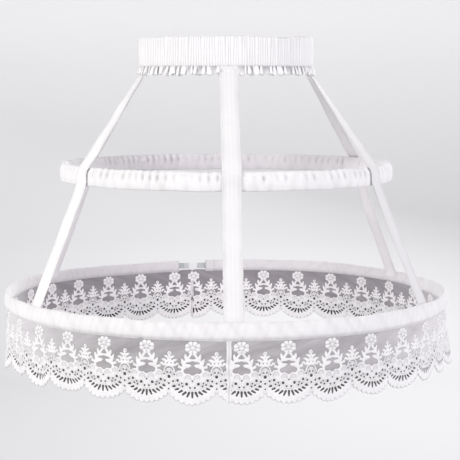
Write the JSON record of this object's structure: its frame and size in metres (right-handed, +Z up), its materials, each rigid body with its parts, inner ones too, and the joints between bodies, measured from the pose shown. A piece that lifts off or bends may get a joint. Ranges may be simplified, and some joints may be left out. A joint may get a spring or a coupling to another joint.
{
  "type": "crinoline cage",
  "caption": "Open hoop-skirt cage: an elastic waistband with a frill, woven tapes, boned hoops in cloth casings and a scalloped lace flounce below the lower hoop.",
  "frame": {"origin": "centre of the waist opening at the top edge of the waistband", "axes": "+Z up along the wearer, -Y towards the wearer's front, +X towards the side that is on the right when the cage is seen from the front"},
  "size_m": [0.6, 0.6, 0.434],
  "materials": {
    "waistband_cloth": "gathered matt cotton cloth, white",
    "elastic_webbing": "woven rubber-cored webbing, white",
    "casing_cloth": "soft plain-woven bias cloth, white",
    "tape_cloth": "woven twill tape with stitched edges, white",
    "lace_net": "sheer net with satin-stitch embroidery, white",
    "bone_plastic": "translucent polyester strip, pale blue-grey",
    "wrap_tape": "thin adhesive wrap, off-white"
  },
  "bodies": {
    "root": {"waistband_cover": "waistband_cloth", "waist_elastic": "elastic_webbing", "upper_hoop_casing": "casing_cloth", "upper_hoop_bone": "bone_plastic", "upper_hoop_bone_wrap": "wrap_tape", "lower_hoop_casing": "casing_cloth", "lower_hoop_bone": "bone_plastic", "lower_hoop_bone_wrap": "wrap_tape", "tape_front": "tape_cloth", "tape_front_left": "tape_cloth", "tape_front_right": "tape_cloth", "tape_back_left": "tape_cloth", "tape_back_right": "tape_cloth", "tape_back": "tape_cloth", "lace_left_half": "lace_net", "lace_right_half": "lace_net"}
  },
  "joints": []
}
